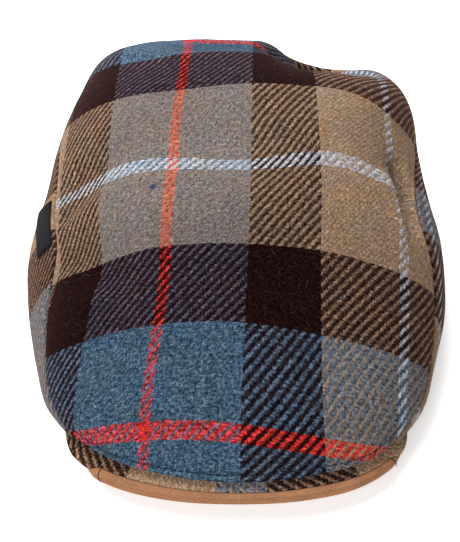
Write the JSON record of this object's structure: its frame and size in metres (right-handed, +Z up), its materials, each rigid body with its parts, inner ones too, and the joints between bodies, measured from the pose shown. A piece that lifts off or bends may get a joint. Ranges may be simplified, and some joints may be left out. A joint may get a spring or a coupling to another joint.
{
  "type": "flat cap",
  "caption": "Soft flat cap of checked wool twill: a one-piece crown drawn down over a short stiff peak, side panels round a head opening and a small blank tab on one side.",
  "frame": {"origin": "middle of the cap's box, on the level of the head opening's hem", "axes": "+Z up out of the crown, -Y forwards along the peak, +X to the right as seen from the front"},
  "size_m": [0.2072, 0.2684, 0.0909],
  "materials": {
    "check_cloth": "woolly twill in a blue, brown and camel check with red and white lines",
    "tan_facing": "plain matt tan cloth",
    "woven_tab": "fine black woven tape, blank"
  },
  "bodies": {
    "root": {"top_panel": "check_cloth", "side_panel_left": "check_cloth", "side_panel_right": "check_cloth", "peak": "tan_facing", "peak_top_cover": "check_cloth", "side_label": "woven_tab"}
  },
  "joints": []
}
